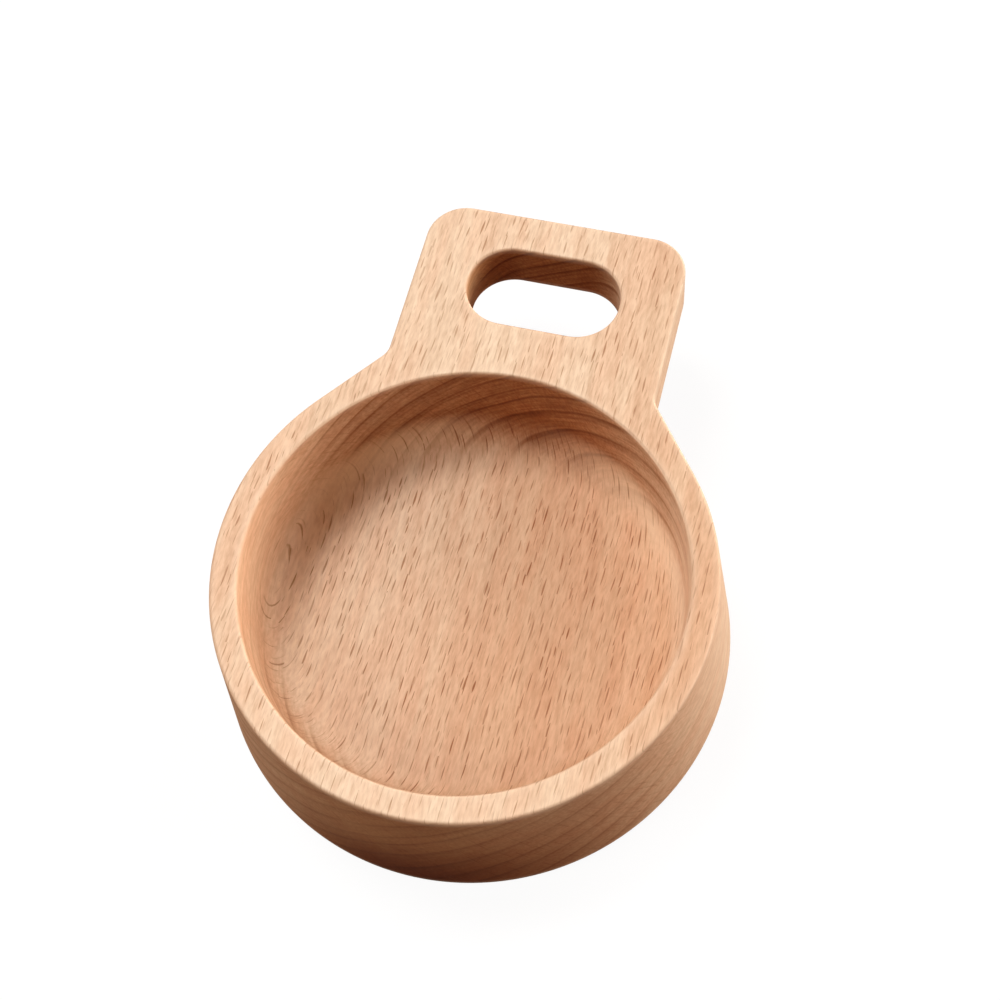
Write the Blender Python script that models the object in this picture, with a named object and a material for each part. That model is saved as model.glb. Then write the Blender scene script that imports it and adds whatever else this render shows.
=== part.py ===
"""Snack dish: a small round dish with a square tab handle, cut from one board of beech.

The blank is lofted from plan outlines, because the flared round wall runs out along straight
shoulders and concave fillets into the upright handle sides at every height. The dish is then
hollowed by a turned cutter with a coved foot, and the handle is pierced by a slot with eased
mouths.

Metres, +Z up. The origin is the centre of the round base, and +Y points along the handle.
"""
import math

import bmesh
import bpy

# Round wall
RIM_DIAMETER = 0.0800
BASE_DIAMETER = 0.0858
HEIGHT = 0.0260
BASE_EASE = 0.0006

# Recess
RIM_WIDTH = 0.00445
RECESS_DEPTH = 0.0180
RECESS_LEAN = 0.0006
COVE_RADIUS = 0.0070

# Handle
HANDLE_END = 0.0671
HANDLE_WIDTH = 0.0454
HANDLE_THICKNESS = 0.0096
HANDLE_CORNER_RADIUS = 0.0067
JUNCTION_RADIUS = 0.0036

# Each shoulder is a straight line that leaves the round at this bearing from +X
SHOULDER_BEARING = math.radians(38)

# Slot through the handle
SLOT_LENGTH = 0.02634
SLOT_WIDTH = 0.01480
SLOT_CORNER_RADIUS = 0.00720
SLOT_TO_HANDLE_END = 0.0145

# Edges that a finger meets
EDGE_EASE = 0.0005

# How far a cutter runs past the face that it opens, and how near the points of its pole are welded
CUT_OVERRUN = 0.0040
WELD_DISTANCE = 0.00001

# Facets
WALL_STEPS = 84
SHOULDER_STEPS = 6
JUNCTION_STEPS = 5
CORNER_STEPS = 8
UNDER_HANDLE_STEPS = 20
EASE_STEPS = 3
COVE_STEPS = 7
RECESS_STEPS = 96
SMOOTH_ANGLE = math.radians(30)

# Finish
BEECH_COLOUR = (0.72, 0.45, 0.27, 1.0)
BEECH_ROUGHNESS = 0.55

# Places that follow from the sizes above
RIM_RADIUS = RIM_DIAMETER / 2
BASE_RADIUS = BASE_DIAMETER / 2
RECESS_RADIUS = RIM_RADIUS - RIM_WIDTH
RECESS_FLOOR = HEIGHT - RECESS_DEPTH
HANDLE_UNDERSIDE = HEIGHT - HANDLE_THICKNESS
SLOT_CENTRE = HANDLE_END - SLOT_TO_HANDLE_END


def clear_scene():
    """Takes every object out of the scene."""
    for thing in list(bpy.data.objects):
        bpy.data.objects.remove(thing)


def arc(centre, radius, start, end, steps):
    """Points along a plane arc from angle start to angle end, both ends included."""
    angles = [start + (end - start) * step / steps for step in range(steps + 1)]
    return [(centre[0] + radius * math.cos(a), centre[1] + radius * math.sin(a)) for a in angles]


def quarter_round(radius, steps):
    """Pairs (drop, inset) down an eased edge, from its flat face to its upright one."""
    turns = [math.pi / 2 * step / steps for step in range(steps + 1)]
    return [(radius * (1 - math.cos(t)), radius * (1 - math.sin(t))) for t in turns]


def wall_radius(height):
    """Outer radius of the round wall, which flares in a straight line from rim to base."""
    return RIM_RADIUS + (BASE_RADIUS - RIM_RADIUS) * (HEIGHT - height) / HEIGHT


def junction(radius, half_width, fillet):
    """Centre of the fillet that touches the right shoulder and the handle's right side."""
    across = half_width + fillet
    along = radius + fillet - across * math.cos(SHOULDER_BEARING)
    return across, along / math.sin(SHOULDER_BEARING)


def shoulder(radius, half_width, fillet):
    """Points up the right shoulder, from past the place where it leaves the round to the fillet."""
    x, y = junction(radius, half_width, fillet)
    x -= fillet * math.cos(SHOULDER_BEARING)
    y -= fillet * math.sin(SHOULDER_BEARING)
    spread = math.atan2(y, x) - SHOULDER_BEARING
    turns = [spread * step / SHOULDER_STEPS for step in range(1, SHOULDER_STEPS + 1)]
    reaches = [(radius / math.cos(t), SHOULDER_BEARING + t) for t in turns]
    return [(reach * math.cos(a), reach * math.sin(a)) for reach, a in reaches]


def round_part(radius, half_width, fillet):
    """The wall's stretch of the outline, round the front from the left fillet to the right one."""
    right = shoulder(radius, half_width, fillet)
    left = [(-x, y) for x, y in reversed(right)]
    start, end = -math.pi - SHOULDER_BEARING, SHOULDER_BEARING
    return left + arc((0, 0), radius, start, end, WALL_STEPS) + right


def handle_part(radius, half_width, end, corner, fillet):
    """The handle's stretch of the outline, from the right fillet round the end to the left one."""
    centre = junction(radius, half_width, fillet)
    right = arc(centre, fillet, math.pi + SHOULDER_BEARING, math.pi, JUNCTION_STEPS)[1:]
    right += arc((half_width - corner, end - corner), corner, 0, math.pi / 2, CORNER_STEPS)
    left = [(-x, y) for x, y in reversed(right)]
    return right + left


def board_outline(radius, wall_inset, handle_inset):
    """Plan outline of dish and handle, each drawn in from its face by its own inset."""
    radius = radius - wall_inset
    half_width = HANDLE_WIDTH / 2 - handle_inset
    end = HANDLE_END - handle_inset
    corner = HANDLE_CORNER_RADIUS - handle_inset
    fillet = JUNCTION_RADIUS + handle_inset
    handle = handle_part(radius, half_width, end, corner, fillet)
    return round_part(radius, half_width, fillet) + handle[:-1]


def slot_outline(outset):
    """Plan outline of the slot, widened all round by the outset."""
    radius = SLOT_CORNER_RADIUS + outset
    across = SLOT_LENGTH / 2 - SLOT_CORNER_RADIUS
    along = SLOT_WIDTH / 2 - SLOT_CORNER_RADIUS
    corners = [(across, along), (-across, along), (-across, -along), (across, -along)]
    points = []
    for turn, (x, y) in enumerate(corners):
        start = turn * math.pi / 2
        points += arc((x, SLOT_CENTRE + y), radius, start, start + math.pi / 2, CORNER_STEPS)
    return points


def add_ring(bm, points, height):
    """One closed row of vertices at a height."""
    return [bm.verts.new((x, y, height)) for x, y in points]


def skin(bm, lower, upper):
    """Quads between two rows of as many vertices, both anticlockwise from above."""
    for i in range(len(lower)):
        j = (i + 1) % len(lower)
        bm.faces.new((lower[i], lower[j], upper[j], upper[i]))


def object_from(bm, name):
    """A new object in the scene, with the mesh that was built."""
    mesh = bpy.data.meshes.new(name)
    bm.to_mesh(mesh)
    bm.free()
    made = bpy.data.objects.new(name, mesh)
    bpy.context.collection.objects.link(made)
    return made


def foot_point(x, y, height, inset):
    """Where the straight line from the round base up to (x, y) under the handle passes a height."""
    reach = math.hypot(x, y)
    radius = BASE_RADIUS + (reach - BASE_RADIUS) * height / HANDLE_UNDERSIDE - inset
    return x * radius / reach, y * radius / reach


def dish_blank():
    """The uncut dish: the board outline above, and the foot below the handle."""
    bm = bmesh.new()
    rows = []
    for drop, inset in quarter_round(EDGE_EASE, EASE_STEPS):
        height = HEIGHT - drop
        rows.append(add_ring(bm, board_outline(wall_radius(height), inset, inset), height))
    for drop, inset in reversed(quarter_round(EDGE_EASE, EASE_STEPS)):
        height = HANDLE_UNDERSIDE + drop
        rows.append(add_ring(bm, board_outline(wall_radius(height), 0, inset), height))
    for upper, lower in zip(rows, rows[1:]):
        skin(bm, lower, upper)
    bm.faces.new(rows[0])

    # Below the handle the back of the foot is an arc between the two shoulders' ends, and the
    # whole foot runs down in straight lines to a round base
    edge = rows[-1]
    shown = WALL_STEPS + 1 + 2 * SHOULDER_STEPS
    right = edge[shown - 1].co
    reach, bearing = math.hypot(right.x, right.y), math.atan2(right.y, right.x)
    hidden = arc((0, 0), reach, bearing, math.pi - bearing, UNDER_HANDLE_STEPS)
    under = add_ring(bm, hidden[1:-1], HANDLE_UNDERSIDE)
    handle = edge[shown - 1:] + edge[:1]
    bm.faces.new(under + handle[::-1])
    upper = top = edge[:shown] + under
    for rise, inset in reversed(quarter_round(BASE_EASE, EASE_STEPS)):
        points = [foot_point(v.co.x, v.co.y, rise, inset) for v in top]
        lower = add_ring(bm, points, rise)
        skin(bm, lower, upper)
        upper = lower
    bm.faces.new(upper[::-1])
    return object_from(bm, "dish")


def recess_cutter():
    """The hollow: an eased mouth, a wall that leans in a little, a cove and a flat floor."""
    foot = RECESS_RADIUS - RECESS_LEAN - COVE_RADIUS
    profile = [(0, HEIGHT + CUT_OVERRUN), (RECESS_RADIUS + EDGE_EASE, HEIGHT + CUT_OVERRUN)]
    for drop, inset in quarter_round(EDGE_EASE, EASE_STEPS):
        profile.append((RECESS_RADIUS + inset, HEIGHT - drop))
    profile += arc((foot, RECESS_FLOOR + COVE_RADIUS), COVE_RADIUS, 0, -math.pi / 2, COVE_STEPS)
    profile.append((0, RECESS_FLOOR))
    bm = bmesh.new()
    spine = [bm.verts.new((x, 0, z)) for x, z in profile]
    for upper, lower in zip(spine, spine[1:]):
        bm.edges.new((upper, lower))
    cutter = object_from(bm, "recess_cutter")
    turn = cutter.modifiers.new("turn", "SCREW")
    turn.steps = RECESS_STEPS
    turn.render_steps = RECESS_STEPS
    turn.use_merge_vertices = True
    turn.merge_threshold = WELD_DISTANCE
    return cutter


def slot_cutter():
    """The slot through the handle, widened at both mouths by the eased edge."""
    bm = bmesh.new()
    rows = [add_ring(bm, slot_outline(EDGE_EASE), HEIGHT + CUT_OVERRUN)]
    for drop, inset in quarter_round(EDGE_EASE, EASE_STEPS):
        rows.append(add_ring(bm, slot_outline(inset), HEIGHT - drop))
    for drop, inset in reversed(quarter_round(EDGE_EASE, EASE_STEPS)):
        rows.append(add_ring(bm, slot_outline(inset), HANDLE_UNDERSIDE + drop))
    rows.append(add_ring(bm, slot_outline(EDGE_EASE), HANDLE_UNDERSIDE - CUT_OVERRUN))
    for upper, lower in zip(rows, rows[1:]):
        skin(bm, lower, upper)
    bm.faces.new(rows[0])
    bm.faces.new(rows[-1][::-1])
    return object_from(bm, "slot_cutter")


def cut(solid, cutter):
    """Takes the cutter's shape out of the solid, and keeps the cutter out of sight."""
    cutter.hide_render = True
    cutter.display_type = "WIRE"
    step = solid.modifiers.new(cutter.name, "BOOLEAN")
    step.operation = "DIFFERENCE"
    step.solver = "EXACT"
    step.object = cutter


def beech():
    """Pale oiled beech."""
    material = bpy.data.materials.new("beech")
    material.use_nodes = True
    shader = material.node_tree.nodes["Principled BSDF"]
    shader.inputs["Base Color"].default_value = BEECH_COLOUR
    shader.inputs["Roughness"].default_value = BEECH_ROUGHNESS
    shader.inputs["Metallic"].default_value = 0
    return material


def build():
    """The whole dish, which is one piece of wood."""
    clear_scene()
    dish = dish_blank()
    cut(dish, recess_cutter())
    cut(dish, slot_cutter())
    dish.data.materials.append(beech())
    dish.data.shade_smooth()
    dish.data.set_sharp_from_angle(angle=SMOOTH_ANGLE)


build()
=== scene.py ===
"""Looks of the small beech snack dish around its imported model. Metres, +Z up, +Y to the handle."""
import math

import bpy
import numpy as np
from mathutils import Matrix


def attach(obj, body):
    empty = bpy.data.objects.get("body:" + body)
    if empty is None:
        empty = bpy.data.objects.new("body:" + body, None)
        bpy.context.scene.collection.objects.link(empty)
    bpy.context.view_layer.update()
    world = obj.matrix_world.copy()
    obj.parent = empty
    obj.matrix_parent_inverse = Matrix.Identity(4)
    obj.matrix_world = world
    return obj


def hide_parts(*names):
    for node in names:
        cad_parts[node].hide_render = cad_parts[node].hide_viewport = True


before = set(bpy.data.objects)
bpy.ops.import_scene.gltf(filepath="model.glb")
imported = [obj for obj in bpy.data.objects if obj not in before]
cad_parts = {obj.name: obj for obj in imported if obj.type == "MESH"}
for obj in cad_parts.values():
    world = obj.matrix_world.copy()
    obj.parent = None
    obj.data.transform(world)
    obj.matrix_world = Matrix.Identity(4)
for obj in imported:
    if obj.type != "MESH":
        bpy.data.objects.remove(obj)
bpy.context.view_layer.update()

# The dish
# One board of beech, sawn to a round with a square tab, turned hollow with a coved foot, and
# pierced by a slot. Every edge is eased by hand, and the wood is left pale under a thin matt oil.
RIM_RADIUS = 0.0400
BASE_RADIUS = 0.0429
HEIGHT = 0.0260
RECESS_RADIUS = 0.03555
RECESS_FLOOR = 0.0080
RECESS_LEAN = 0.0006
COVE_RADIUS = 0.0070
HANDLE_END = 0.0671
HALF_WIDTH = 0.0227
HANDLE_UNDERSIDE = 0.0164
HANDLE_CORNER = 0.0067
JUNCTION_RADIUS = 0.0036
SHOULDER_BEARING = math.radians(38)
SLOT_CENTRE = 0.0526
SLOT_HALF_LENGTH = 0.01317
SLOT_HALF_WIDTH = 0.00740
SLOT_CORNER = 0.00720
EASE = 0.0005
BASE_EASE = 0.0006

# How far a handled edge is rubbed smooth, and the first row of facets beside an eased edge
RUB_REACH = 0.0009
FIRST_ROW = 0.00012

# Facets along each stretch: round the board, then up and across its faces
WALL_STEPS = 240
SHOULDER_STEPS = 24
HIDDEN_STEPS = 90
FILLET_STEPS = 10
SIDE_STEPS = 24
CORNER_STEPS = 16
END_STEPS = 34
EASE_STEPS = 6
UPRIGHT_STEPS = 6
FOOT_ROWS = 9
BASE_STEPS = 7
RIM_STEPS = 3
LEAN_STEPS = 8
COVE_STEPS = 18
FLOOR_STEPS = 15
FACE_STEPS = 8

# Points of the skin are welded where they fall on the same ten-thousandth of a millimetre
WELD_STEPS = 1e7


def quarter_round(steps):
    """Shares of an eased edge: drop = 1 - cos t, inset = 1 - sin t, for t from 0 to 90 degrees."""
    turn = np.linspace(0, math.pi / 2, steps + 1)
    return 1 - np.cos(turn), 1 - np.sin(turn)


def between(start, end, steps):
    """Evenly spaced shares of the way from start to end, without the two ends."""
    return np.linspace(start, end, steps + 1)[1:-1]


def rubbed_rows(heights, *edges):
    """1 at an edge's height, fading to 0 at the reach of a rubbing hand."""
    away = np.min([np.abs(heights - edge) for edge in edges], 0)
    return (1 - away / RUB_REACH).clip(0, 1)


class Skin:
    """Gathers closed grids of points and turns them into one welded mesh."""

    def __init__(self):
        self.points, self.rubs, self.triangles, self.count = [], [], [], 0

    def add(self, rows, rub=0, inward=False):
        """Two triangles to each cell of a grid whose columns close on themselves."""
        down, along = rows.shape[:2]
        here = self.count + np.arange(down * along).reshape(down, along)
        a, b = here[:-1], here[1:]
        c, d = np.roll(b, -1, 1), np.roll(a, -1, 1)
        cells = np.concatenate((np.stack((a, b, c), 2), np.stack((a, c, d), 2))).reshape(-1, 3)
        self.triangles.append(cells[:, ::-1] if inward else cells)
        self.points.append(rows.reshape(-1, 3))
        rub = np.asarray(rub, float)
        rub = rub[:, None] if rub.ndim == 1 else rub
        self.rubs.append((rub + np.zeros((down, along))).ravel())
        self.count += down * along

    def mesh(self, name):
        """Welds points that share a place, and drops the cells that close up at a pole."""
        points = np.concatenate(self.points)
        keys = np.round(points * WELD_STEPS).astype(np.int64)
        _, first, welded = np.unique(keys, axis=0, return_index=True, return_inverse=True)
        triangles = welded.ravel()[np.concatenate(self.triangles)]
        a, b, c = triangles.T
        triangles = triangles[(a != b) & (b != c) & (c != a)]
        made = bpy.data.meshes.new(name)
        made.vertices.add(len(first))
        made.vertices.foreach_set("co", points[first].ravel())
        made.loops.add(triangles.size)
        made.loops.foreach_set("vertex_index", triangles.ravel())
        made.polygons.add(len(triangles))
        made.polygons.foreach_set("loop_start", np.arange(0, triangles.size, 3))
        made.update(calc_edges=True)
        rub = np.zeros(len(first))
        np.maximum.at(rub, welded.ravel(), np.concatenate(self.rubs))
        made.attributes.new("rubbed", "FLOAT", "POINT").data.foreach_set("value", rub)
        made.shade_smooth()
        return made


def wall_radius(height):
    """The round wall flares in a straight line from the rim down to the base."""
    return RIM_RADIUS + (BASE_RADIUS - RIM_RADIUS) * (HEIGHT - height) / HEIGHT


def shoulder(radius, handle_inset):
    """Centre of the fillet between the right shoulder and the handle's side, and the spread.

    The shoulder is a line that touches the round wall. The fillet's centre stands its own radius
    away from both lines, and the spread is the turn from one end of the shoulder to the other.
    """
    fillet = JUNCTION_RADIUS + handle_inset
    lean_x, lean_y = math.cos(SHOULDER_BEARING), math.sin(SHOULDER_BEARING)
    across = HALF_WIDTH + JUNCTION_RADIUS
    along = (radius + fillet - lean_x * across) / lean_y
    spread = np.arctan2(along - fillet * lean_y, across - fillet * lean_x) - SHOULDER_BEARING
    return across, along, spread


def wall_columns(radius, spread):
    """Bearing and reach of the wall's columns, anticlockwise from the left shoulder's end.

    The reach is the radius round the front, and radius / cos(turn) along each shoulder.
    """
    front = np.linspace(-math.pi - SHOULDER_BEARING, SHOULDER_BEARING, WALL_STEPS + 1)
    out = spread * np.linspace(0, 1, SHOULDER_STEPS + 1)[1:]
    front, still = front + 0 * spread, 0 * spread + 0 * front
    bearing = np.concatenate((front[..., :1] - out[..., ::-1], front, front[..., -1:] + out), -1)
    turn = np.concatenate((out[..., ::-1], still, out), -1)
    return bearing, radius / np.cos(turn)


def board_edge(height, wall_inset, handle_inset):
    """Rows round dish and handle, anticlockwise from the left shoulder's end.

    The wall and its two shoulders, then a concave fillet, the straight side, the corner and the
    straight end, and the same mirrored; each face drawn in by its own inset.
    """
    height, wall_inset, handle_inset = (v[:, None] for v in (height, wall_inset, handle_inset))
    radius = wall_radius(height) - wall_inset
    across, along, spread = shoulder(radius, handle_inset)
    bearing, reach = wall_columns(radius, spread)
    fillet = JUNCTION_RADIUS + handle_inset
    corner = HANDLE_CORNER - handle_inset
    turn = math.pi + SHOULDER_BEARING * (1 - np.linspace(0, 1, FILLET_STEPS + 1)[1:])
    hollow = across + fillet * np.cos(turn), along + fillet * np.sin(turn)
    side_x = HALF_WIDTH - handle_inset
    side_y = along + (HANDLE_END - HANDLE_CORNER - along) * between(0, 1, SIDE_STEPS)
    side = side_x + 0 * side_y, side_y
    turn = np.linspace(0, math.pi / 2, CORNER_STEPS + 1)
    round_x = HALF_WIDTH - HANDLE_CORNER + corner * np.cos(turn)
    round_y = HANDLE_END - HANDLE_CORNER + corner * np.sin(turn)
    right = [np.concatenate(v, 1) for v in zip(hollow, side, (round_x, round_y))]
    end_x = (HALF_WIDTH - HANDLE_CORNER) * between(1, -1, END_STEPS) + 0 * height
    end_y = HANDLE_END - handle_inset + 0 * end_x
    x = np.concatenate((reach * np.cos(bearing), right[0], end_x, -right[0][:, ::-1]), 1)
    y = np.concatenate((reach * np.sin(bearing), right[1], end_y, right[1][:, ::-1]), 1)
    return np.stack((x, y, height + 0 * x), 2)


# Outside, from the eased top edge down to the handle's eased underside
skin = Skin()
drop, inset = quarter_round(EASE_STEPS)
top_z = HEIGHT - EASE * drop
low_z = HANDLE_UNDERSIDE + EASE * drop[::-1]
side_z = np.concatenate((
    [top_z[-1] - FIRST_ROW, top_z[-1] - RUB_REACH],
    between(top_z[-1] - RUB_REACH, low_z[0] + RUB_REACH, UPRIGHT_STEPS),
    [low_z[0] + RUB_REACH, low_z[0] + FIRST_ROW],
))
height = np.concatenate((top_z, side_z, low_z))
wall_inset = np.concatenate((EASE * inset, 0 * side_z, 0 * low_z))
handle_inset = np.concatenate((EASE * inset, 0 * side_z, EASE * inset[::-1]))
outside = board_edge(height, wall_inset, handle_inset)
rub = np.concatenate((1 + 0 * top_z, rubbed_rows(side_z, top_z[-1], low_z[0]), 1 + 0 * low_z))
below_top = rubbed_rows(height, top_z[-1]) * (height < top_z[-1]) + (height >= top_z[-1])
shown = WALL_STEPS + 1 + 2 * SHOULDER_STEPS
on_wall = np.arange(outside.shape[1]) < shown
skin.add(outside, np.where(on_wall, below_top[:, None], rub[:, None]))


def whole_turn(radius, handle_inset):
    """Bearing and reach of columns all round: the wall's own, and an arc behind the handle.

    The arc joins the ends of the two shoulders.
    """
    spread = shoulder(radius, handle_inset)[2]
    bearing, reach = wall_columns(radius, spread)
    behind = between(bearing[-1], math.pi - bearing[-1], HIDDEN_STEPS)
    return np.append(bearing, behind), np.append(reach, reach[-1] + 0 * behind)


def turned(bearing, reach, height):
    """Rows of points at a reach from the dish's middle line, one column to a bearing."""
    x, y = reach * np.cos(bearing), reach * np.sin(bearing)
    return np.stack((x, y, height[:, None] + 0 * x), 2)


# The foot below the handle runs down in straight lines to a round base with an eased edge
low_bearing, low_reach = whole_turn(wall_radius(HANDLE_UNDERSIDE), EASE)
upright_z = np.concatenate((
    [HANDLE_UNDERSIDE],
    np.linspace(HANDLE_UNDERSIDE - FIRST_ROW, BASE_EASE + RUB_REACH, FOOT_ROWS),
    [BASE_EASE + FIRST_ROW],
))
foot_z = np.append(upright_z, BASE_EASE * drop[::-1])
foot_inset = np.append(0 * upright_z, BASE_EASE * inset[::-1])[:, None]
rise = foot_z[:, None] / HANDLE_UNDERSIDE
foot_reach = BASE_RADIUS + (low_reach - BASE_RADIUS) * rise - foot_inset
foot = turned(low_bearing, foot_reach, foot_z)
skin.add(foot, rubbed_rows(foot_z, 0, BASE_EASE))
base_r = BASE_RADIUS - BASE_EASE - np.array([0, FIRST_ROW, RUB_REACH])
base_r = np.append(base_r, base_r[-1] * np.linspace(1, 0, BASE_STEPS + 1)[1:])
base_rub = (1 - (base_r[0] - base_r) / RUB_REACH).clip(0, 1)
skin.add(turned(low_bearing, base_r[:, None], 0 * base_r), base_rub)

# The rim's flat, from the eased mouth of the recess out to the eased top edge
top_bearing, top_reach = whole_turn(RIM_RADIUS - EASE, EASE)
mouth_r = RECESS_RADIUS + EASE
near = np.array([0, FIRST_ROW, RUB_REACH])[:, None]
rim_width = top_reach - mouth_r
edge_share = RUB_REACH / rim_width
share = np.concatenate((
    near / rim_width,
    edge_share + (1 - 2 * edge_share) * between(0, 1, RIM_STEPS)[:, None],
    1 - near[::-1] / rim_width,
))
rim = turned(top_bearing, mouth_r + rim_width * share, np.full(len(share), HEIGHT))
rim_rub = 1 - np.minimum(share, 1 - share) * rim_width / RUB_REACH
rim_rub[(share > 0.5) & (np.arange(rim.shape[1]) >= shown)] = 0
skin.add(rim, rim_rub.clip(0, 1))

# The recess, from its eased mouth by a leaning wall and a cove to the flat floor
turn = np.linspace(0, math.pi / 2, COVE_STEPS + 1)
cove_top = RECESS_FLOOR + COVE_RADIUS
cove_foot = RECESS_RADIUS - RECESS_LEAN - COVE_RADIUS
lean_z = np.concatenate((
    [top_z[-1] - FIRST_ROW, top_z[-1] - RUB_REACH],
    between(top_z[-1] - RUB_REACH, cove_top, LEAN_STEPS),
))
lean_r = RECESS_RADIUS - RECESS_LEAN * (top_z[-1] - lean_z) / (top_z[-1] - cove_top)
recess_r = np.concatenate((
    RECESS_RADIUS + EASE * inset,
    lean_r,
    cove_foot + COVE_RADIUS * np.cos(turn),
    cove_foot * np.linspace(1, 0, FLOOR_STEPS + 1)[1:],
))
recess_z = np.concatenate((
    top_z,
    lean_z,
    cove_top - COVE_RADIUS * np.sin(turn),
    np.full(FLOOR_STEPS, RECESS_FLOOR),
))
recess_rub = rubbed_rows(recess_z, top_z[-1]) * (recess_z < top_z[-1]) + (recess_z >= top_z[-1])
skin.add(turned(top_bearing, recess_r[:, None], recess_z), recess_rub, inward=True)


def slot_rows(heading, outset, height):
    """Rows round the slot: where a ray at each heading from its centre leaves a rounded oblong.

    It leaves through a flat side while it meets that side between the corners, and otherwise
    through the circle of the corner on its own quarter.
    """
    c, s = np.cos(heading), np.sin(heading)
    outset, height = outset[:, None], height[:, None]
    middle_x = SLOT_HALF_LENGTH - SLOT_CORNER
    middle_y = SLOT_HALF_WIDTH - SLOT_CORNER
    nearly_none = 1e-9
    by_long = (SLOT_HALF_WIDTH + outset) / np.maximum(np.abs(s), nearly_none)
    by_short = (SLOT_HALF_LENGTH + outset) / np.maximum(np.abs(c), nearly_none)
    reach = middle_x * np.abs(c) + middle_y * np.abs(s)
    off = middle_x**2 + middle_y**2 - (SLOT_CORNER + outset) ** 2
    by_corner = reach + np.sqrt(np.maximum(reach**2 - off, 0))
    run = np.where(by_long * np.abs(c) <= middle_x, by_long, by_corner)
    run = np.where(by_short * np.abs(s) <= middle_y, by_short, run)
    return np.stack((run * c, SLOT_CENTRE + run * s, height + 0 * run), 2)


def spokes(inner, outer, rubbed):
    """Flat rows from the slot's row out to the board's, with narrow first and last rows.

    Each spoke is a straight line; rubbed is 1 on the columns whose outer end is a real edge.
    """
    length = np.linalg.norm(outer - inner, axis=1)
    near = np.array([0, FIRST_ROW, RUB_REACH])[:, None]
    middle = RUB_REACH + (length - 2 * RUB_REACH) * between(0, 1, FACE_STEPS)[:, None]
    run = np.concatenate((near + 0 * length, middle, length - near[::-1]))
    rub = 1 - np.minimum(run, length - run) / RUB_REACH
    rub = np.where(run > length / 2, rub * rubbed, rub).clip(0, 1)
    return inner + (outer - inner) * (run / length)[..., None], rub


# The handle's two faces, as spokes from the slot out to the board's edge
top_edge = np.concatenate((outside[0, shown - 1:], outside[0, :1], rim[-1, shown:][::-1]))
low_edge = np.concatenate((outside[-1, shown - 1:], outside[-1, :1], foot[0, shown:][::-1]))
heading = np.arctan2(top_edge[:, 1] - SLOT_CENTRE, top_edge[:, 0])
slot_wall = slot_rows(heading, handle_inset, height)
real_edge = np.arange(len(top_edge)) < len(top_edge) - HIDDEN_STEPS + 1
for inner, outer, inward in ((slot_wall[0], top_edge, False), (slot_wall[-1], low_edge, True)):
    face, face_rub = spokes(inner, outer, real_edge)
    skin.add(face, face_rub, inward)
skin.add(slot_wall, rub, inward=True)

dish = bpy.data.objects.new("beech_dish", skin.mesh("beech_dish"))
bpy.context.collection.objects.link(dish)
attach(dish, "root")
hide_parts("dish")


class Strand:
    """A socket of a material's tree. Sums and products of strands and numbers add Math nodes."""

    def __init__(self, tree, node=None, socket=None):
        self.tree, self.node, self.socket = tree, node, socket

    def make(self, kind, settings, inputs, output=0):
        """A new node: its settings, then numbers, colours or strands on its sockets by name."""
        node = self.tree.nodes.new(kind)
        for name, value in settings.items():
            if name == "stops":
                ramp = node.color_ramp.elements
                while len(ramp) < len(value):
                    ramp.new(0.5)
                for stop, (place, grey) in zip(ramp, value):
                    stop.position, stop.color = place, (grey, grey, grey, 1)
            else:
                setattr(node, name, value)
        for name, value in inputs.items():
            if isinstance(value, Strand):
                self.tree.links.new(value.socket, node.inputs[name])
            else:
                node.inputs[name].default_value = value
        return Strand(self.tree, node, node.outputs[output])

    def other(self, output):
        """Another output of the same node."""
        return Strand(self.tree, self.node, self.node.outputs[output])

    def maths(self, operation, *values):
        """A Math node on strands and numbers."""
        return self.make("ShaderNodeMath", {"operation": operation}, dict(enumerate(values)))

    def __add__(self, other):
        return self.maths("ADD", self, other)

    def __sub__(self, other):
        return self.maths("SUBTRACT", self, other)

    def __rsub__(self, other):
        return self.maths("SUBTRACT", other, self)

    def __mul__(self, other):
        return self.maths("MULTIPLY", self, other)

    def __truediv__(self, other):
        return self.maths("DIVIDE", self, other)

    __radd__ = __add__
    __rmul__ = __mul__

    def ramp(self, low, high, to_low=0, to_high=1):
        """A soft step from to_low to to_high while the strand goes from low to high."""
        settings = {"interpolation_type": "SMOOTHSTEP"}
        ends = {"From Min": low, "From Max": high, "To Min": to_low, "To Max": to_high}
        return self.make("ShaderNodeMapRange", settings, {"Value": self, **ends})

    def graded(self, stops):
        """What a row of stops gives for the strand."""
        return self.make("ShaderNodeValToRGB", {"stops": stops}, {"Fac": self})

    def point(self, x, y, z):
        """A vector of three strands or numbers."""
        return self.make("ShaderNodeCombineXYZ", {}, {"X": x, "Y": y, "Z": z})

    def parts(self):
        """The three parts of a vector."""
        x = self.make("ShaderNodeSeparateXYZ", {}, {"Vector": self})
        return x, x.other("Y"), x.other("Z")

    def length(self):
        """The length of a vector."""
        return self.make("ShaderNodeVectorMath", {"operation": "LENGTH"}, {0: self}, "Value")

    def noise(self, detail=2.0, roughness=0.5):
        """Soft noise about 0 at a point, with a bump or so to each step of it."""
        sockets = {"Vector": self, "Scale": 1.0, "Detail": detail, "Roughness": roughness}
        return self.make("ShaderNodeTexNoise", {}, sockets) - 0.5

    def blend(self, share, start, end, kind="MIX"):
        """A colour between two colours, by a share of the second."""
        sockets = {0: share, 6: start, 7: end}
        return self.make("ShaderNodeMix", {"data_type": "RGBA", "blend_type": kind}, sockets, 2)

    def tinted(self, share, colour):
        """This colour with a share of a stain or of painted shade on it, which multiplies it."""
        return self.blend(share, self, colour, "MULTIPLY")


# The heart of the tree lay outside the board, to its right and below, so the rings climb to the
# right across the end grain and the rays run down from the left. Millimetres in this material.
MILLIMETRES = 1000.0
HEART_X, HEART_Z = 164.6, -253.1
MEAN_RADIUS = 315.0

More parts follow.
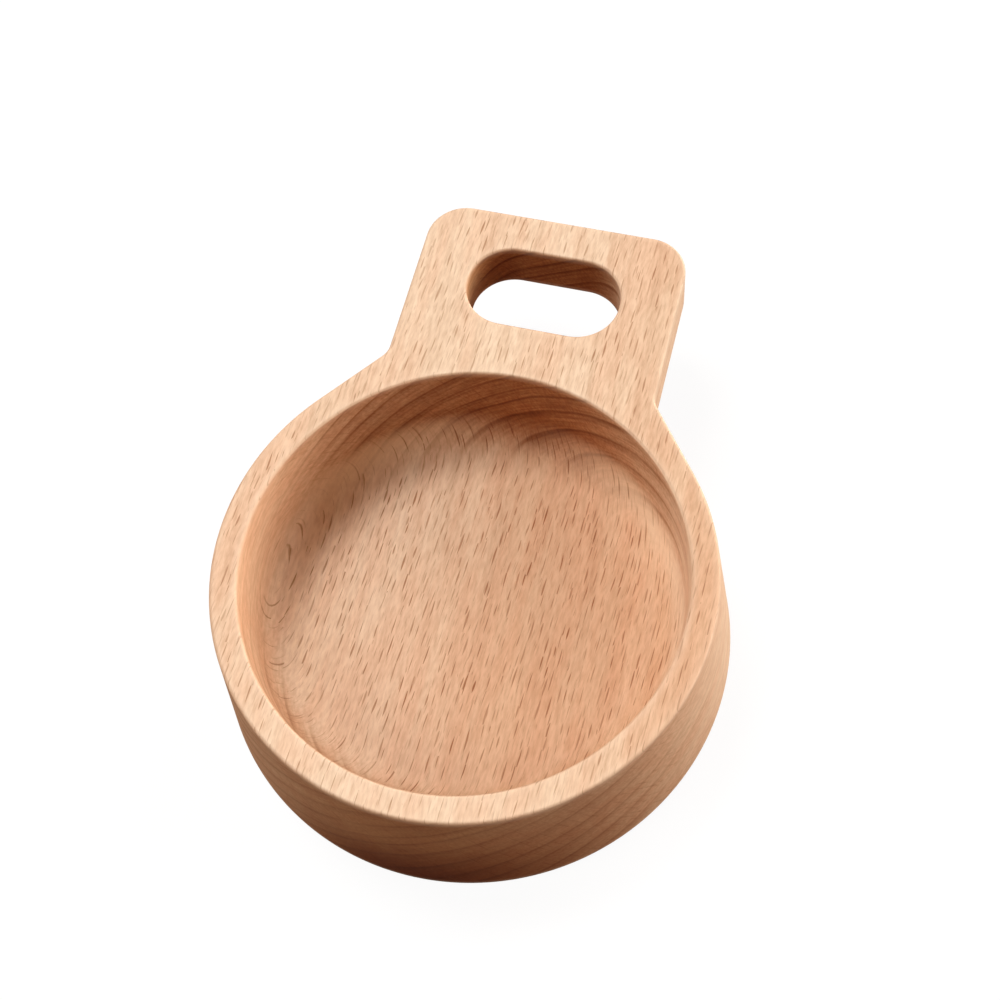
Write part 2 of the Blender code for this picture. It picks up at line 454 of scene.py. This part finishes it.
# Sideways drift of the heart, and of the rays' ribbons, to each millimetre along the board
HEART_RUN = -0.100
RAY_LEAN = 0.035

# Radius at which each year's late wood ends, and how dark a ring is through its year
RING_ENDS = (
    276.5, 280.6, 285.2, 289.8, 295.0, 299.5, 303.6, 308.2, 312.9, 316.6,
    319.0, 322.8, 326.8, 330.9, 333.7, 336.6, 340.2, 344.8, 349.5,
)
YEAR_STOPS = [(0, 0.35), (0.05, 0.1), (0.5, 0.1), (0.82, 0.42), (0.93, 1.0), (1, 0.62)]

# Colours of the wood, of the stains that darken it, and of the painted light and shade on it
UPPER_WOOD = (0.96, 0.735, 0.53, 1)
LOWER_WOOD = (0.86, 0.555, 0.35, 1)
EDGE_WOOD = (0.94, 0.70, 0.50, 1)
COVE_LIGHT_WOOD = (1.0, 0.72, 0.48, 1)
ROSY_STAIN = (0.97, 0.90, 0.87, 1)
END_STAIN_AND_SHADE = (0.55, 0.355, 0.21, 1)
RING_STAIN_AND_SHADE = (0.54, 0.37, 0.24, 1)
RAY_STAIN = (0.47, 0.29, 0.18, 1)
AMBER_SHADE = (0.80, 0.45, 0.15, 1)

# Stretches along the board over which a look fades: at the front, and towards the back
FRONT = (-40, -6)
BACK = (5, 25)


def ray_flecks(around, along, out, edgeways, gap, run, widest, longest, deepest):
    """Thin lenses scattered one to a cell, each a ray's ribbon of cells seen on edge.

    A lens is as thick as widest times 1 - (along / longest) squared - (out / deepest) squared,
    counted from its own middle, and thinner by edgeways, so a surface that cuts it at a slant
    shows it no wider. Its size and its darkness are left to chance.
    """
    cell = around.point(around / gap, along / run, out / deepest)
    spot = around.make("ShaderNodeTexVoronoi", {}, {"Vector": cell, "Scale": 1.0}, "Position")
    chance = spot.make("ShaderNodeSeparateColor", {}, {"Color": spot.other("Color")})
    place_around, place_along, place_out = spot.parts()
    off = around - place_around * gap
    off = off.maths("ABSOLUTE", off) / edgeways
    end = (along - place_along * run) / (longest * (0.5 + 0.5 * chance.other("Green")))
    deep = out / deepest - place_out
    width = widest * (0.5 + 0.5 * chance) * (1 - end * end - deep * deep)
    return (width - off).ramp(-0.02, 0.08) * (0.5 + 0.5 * chance.other("Blue"))


wood = bpy.data.materials.new("oiled_beech")
wood.use_nodes = True
tree = wood.node_tree
shader = tree.nodes["Principled BSDF"]
coords = Strand(tree).make("ShaderNodeTexCoord", {}, {}, "Object")
scaled = {0: coords, "Scale": MILLIMETRES}
x, y, z = coords.make("ShaderNodeVectorMath", {"operation": "SCALE"}, scaled).parts()

# Which way the surface faces: end grain is 1 across the fibres, and level is 1 where it lies flat
facing_x, facing_y, facing_z = coords.other("Normal").parts()
end_grain = facing_y * facing_y
level = facing_z * facing_z

# Rings round the heart, that wander by a millimetre or so. The year counts rings outwards.
wander = x.point(x / 16, y / 60, z / 16).noise()
out_x = HEART_X - x + y * HEART_RUN
out_z = z - HEART_Z
radius = x.point(out_x, 0, out_z).length() + wander * 1.6
span = RING_ENDS[-1] - RING_ENDS[0]
years = len(RING_ENDS) - 1
stops = [((end - RING_ENDS[0]) / span, i / years) for i, end in enumerate(RING_ENDS)]
year = ((radius - RING_ENDS[0]) / span).graded(stops) * years
late = year.maths("FRACT", year).graded(YEAR_STOPS)

# Ray flecks, bold ones and fine ones set off from them: ribbons that run outwards from the
# heart. Around is the distance along a ring, and edgeways is least where the surface lies in a
# ribbon's own plane.
broadside = (facing_x * out_z + facing_z * out_x) / radius
edgeways = 1 - broadside * broadside
edgeways = edgeways.maths("SQRT", edgeways.maths("MAXIMUM", edgeways, 0.12))
leaning_x = HEART_X - x + y * RAY_LEAN
around = leaning_x.maths("ARCTAN2", leaning_x, out_z) * -MEAN_RADIUS
around = around + x.point(x / 5, y / 7, z / 5).noise(detail=1.0) * 0.5
bold = ray_flecks(
    around, y, radius, edgeways,
    gap=1.4, run=4.1, widest=0.20, longest=2.5, deepest=4.0,
)
fine = ray_flecks(
    around + 31.7, y + 11.3, radius + 5.9, edgeways,
    gap=0.9, run=2.8, widest=0.13, longest=1.6, deepest=2.6,
)
cloud = x.point(x / 3.5, y / 28, z / 3.5).noise(detail=3.0)
rays = (bold + fine * 0.45) * (0.85 + cloud)
rays = rays.maths("MINIMUM", rays, 1.0) * (0.35 + level.ramp(0, 0.5) * 0.65)
rays = rays * z.ramp(10, 24, 1, 0.80)

# Fibres, and broader streaks of them
fibre = x.point(around * 2.4, y * 0.42, radius * 1.5).noise(detail=2.0, roughness=0.6)
streak = x.point(around / 9, y / 26, radius * 1.5).noise(detail=3.0, roughness=0.6)

# The board is palest in a band of its middle years. Its walls to the right are painted paler still,
# most towards the back, as the light that falls on that side.
pale_and_lit = radius.ramp(303, 320) - radius.ramp(330, 348) * 0.4
pale_and_lit = pale_and_lit + x.ramp(10, 26) * level.ramp(0, 0.9, 1, 0) * y.ramp(-25, 20, 0.15, 1)
colour = x.blend(pale_and_lit, LOWER_WOOD, UPPER_WOOD)
colour = colour.tinted(cloud.ramp(-0.14, 0.14), ROSY_STAIN)

# End grain drinks the oil and goes darker. It is painted less dark at the back on the right, as the
# light that falls there.
end_share = end_grain * (1 - x.ramp(8, 30) * y.ramp(-10, 10, 0, 0.4))
colour = colour.tinted(end_share, END_STAIN_AND_SHADE)

# Late wood shows where the surface cuts across the fibres, and most at the back of the recess
clear = y.ramp(*FRONT, 0.55, 1) + y.ramp(*BACK, 0, 0.3)
ring_share = late * (0.9 + wander * 1.6) * end_grain.ramp(0, 0.6, 0.12, 1.0) * clear
colour = colour.tinted(ring_share, RING_STAIN_AND_SHADE)

# Painted shade in an amber brown darkens the slot, most at its left end, and the upright end grain
# towards the back. The walls far on the left have a touch of it.
slot_end = SLOT_HALF_LENGTH * MILLIMETRES
from_slot = x.point(x, y - SLOT_CENTRE * MILLIMETRES, 0).length()
in_slot = from_slot.ramp(slot_end + 0.13, slot_end + 1.23, 1, 0)
amber_shade = (x.ramp(-34, -14, 0.3, 0) + in_slot * facing_x.ramp(-0.6, 0.8, 0, 0.7)) * (1 - level)
amber_shade = amber_shade + end_grain * (y.ramp(5, 35, 0, 0.35) - y.ramp(40, 50, 0, 0.12))
colour = colour.tinted(amber_shade, AMBER_SHADE)

# Streaks and fibres are darker lines of the same brown, clearest on end grain
streak_share = streak.ramp(-0.2, 0.2) * (0.16 + end_grain * 0.4) * clear
colour = colour.tinted(streak_share, RING_STAIN_AND_SHADE)
fibre_share = fibre.ramp(-0.22, 0.22) * (0.30 + end_grain * y.ramp(*BACK, 0, 0.25))
colour = colour.tinted(fibre_share, RING_STAIN_AND_SHADE)

# Painted shade: end grain is darkened near the foot, as the shade beside the table, and darker again
# at the front, as the shade on that side. Both are less on the left.
painted_foot_shade = z.ramp(2, 19, 1, 0) * end_grain * end_grain * end_grain * x.ramp(-30, -5, 0.3, 1)
colour = colour.tinted(painted_foot_shade, END_STAIN_AND_SHADE)
painted_front_shade = y.ramp(*FRONT, 0.45, 0) * end_grain.ramp(0, 0.6) * x.ramp(-30, 5, 0, 0.95)
colour = colour.tinted(painted_foot_shade * 0.5 + painted_front_shade, RING_STAIN_AND_SHADE)

# Painted light: a paler band along the cove at the back, as the light thrown back into it. Askew is
# 1 where the cove faces straight along the fibres, and 0 where it faces across them.
askew = end_grain / (1.001 - level)
painted_cove_light = level * (1 - level) * (1 - level) * askew * (1 - askew) * y.ramp(-12, 8, 0, 15)
colour = x.blend(painted_cove_light, colour, COVE_LIGHT_WOOD)
colour = colour.tinted(rays, RAY_STAIN)

# Edges are rubbed paler and smoother. Flecks and late wood lie a hair lower than the rest.
rubbed = x.make("ShaderNodeAttribute", {"attribute_name": "rubbed"}, {}, "Fac")
colour = x.blend(rubbed * 0.22, colour, EDGE_WOOD)
relief = fibre * 0.2 - rays * 0.5 - late * 0.12
bump = x.make("ShaderNodeBump", {}, {"Strength": 0.5, "Distance": 0.00006, "Height": relief})
rough = 0.52 + fibre * 0.10 + rays * 0.08 - rubbed * 0.08
tree.links.new(colour.socket, shader.inputs["Base Color"])
tree.links.new(rough.socket, shader.inputs["Roughness"])
tree.links.new(bump.socket, shader.inputs["Normal"])
shader.inputs["Metallic"].default_value = 0
shader.inputs["IOR"].default_value = 1.45
shader.inputs["Specular IOR Level"].default_value = 0.25
dish.data.materials.append(wood)

# The table
# A wide white sheet that the dish stands on. It keeps the dish's soft shadow, and throws a
# little warm light back up at the wood.
HALF_TABLE = 3.0
PAPER_GLOW = 0.91
WARM_PAPER = (0.32, 0.25, 0.20, 1)
SHADED_PAPER = (0.12, 0.12, 0.12, 1)
WHITE = (1, 1, 1, 1)
table_mesh = bpy.data.meshes.new("table")
corners = HALF_TABLE * np.array([(-1, -1, 0), (1, -1, 0), (1, 1, 0), (-1, 1, 0)])
table_mesh.from_pydata(corners.tolist(), [], [(0, 1, 2, 3)])
table = bpy.data.objects.new("table", table_mesh)
bpy.context.collection.objects.link(table)
paper = bpy.data.materials.new("white_paper")
paper.use_nodes = True
sheet = paper.node_tree
sheet.nodes.remove(sheet.nodes["Principled BSDF"])
seen = Strand(sheet).make("ShaderNodeLightPath", {}, {}, "Is Camera Ray")
plain = seen.make("ShaderNodeBsdfDiffuse", {}, {"Color": WARM_PAPER})
shaded = seen.make("ShaderNodeBsdfDiffuse", {}, {"Color": SHADED_PAPER})
glow = seen.make("ShaderNodeEmission", {}, {"Color": WHITE, "Strength": PAPER_GLOW})
bright = seen.make("ShaderNodeAddShader", {}, {0: shaded, 1: glow})
both = seen.make("ShaderNodeMixShader", {}, {0: seen, 1: plain, 2: bright})
sheet.links.new(both.socket, sheet.nodes["Material Output"].inputs["Surface"])
table_mesh.materials.append(paper)

# The light
# A lamp high behind on the left, a wider one in front of it, and two wide low ones behind on the
# right, with very little light around them.
ROOM_LIGHT = (0.18, 0.13, 0.095, 1)
world = bpy.data.worlds.new("studio")
bpy.context.scene.world = world
world.use_nodes = True
seen = Strand(world.node_tree).make("ShaderNodeLightPath", {}, {}, "Is Camera Ray")
sky = world.node_tree.nodes["Background"]
world.node_tree.links.new(seen.blend(seen, ROOM_LIGHT, WHITE).socket, sky.inputs["Color"])


def soft_lamp(name, azimuth, elevation, strength, spread):
    """A distant lamp with a wide disc, from a compass bearing anticlockwise from +X."""
    lamp = bpy.data.lights.new(name, "SUN")
    lamp.energy, lamp.angle = strength, math.radians(spread)
    made = bpy.data.objects.new(name, lamp)
    made.rotation_euler = (0, math.radians(90 - elevation), math.radians(azimuth))
    bpy.context.collection.objects.link(made)


soft_lamp("high_lamp", azimuth=138, elevation=62, strength=1.34, spread=20)
soft_lamp("left_lamp", azimuth=218, elevation=46, strength=1.18, spread=36)
soft_lamp("right_lamp", azimuth=10, elevation=4, strength=2.35, spread=28)
soft_lamp("back_lamp", azimuth=64, elevation=14, strength=2.7, spread=44)

# The camera
# A plain lens, sharp throughout. It looks down at about 64 degrees, from in front and a little
# to the right.
eye = bpy.data.cameras.new("camera")
eye.sensor_width = 36
eye.lens = 57.70
eye.clip_start = 0.01
camera = bpy.data.objects.new("camera", eye)
camera.location = (0.04710, -0.08967, 0.25477)
camera.rotation_euler = [math.radians(turn) for turn in (25.7697, 4.2657, 14.5884)]
bpy.context.collection.objects.link(camera)
bpy.context.scene.camera = camera
bpy.context.scene.view_settings.view_transform = "Standard"
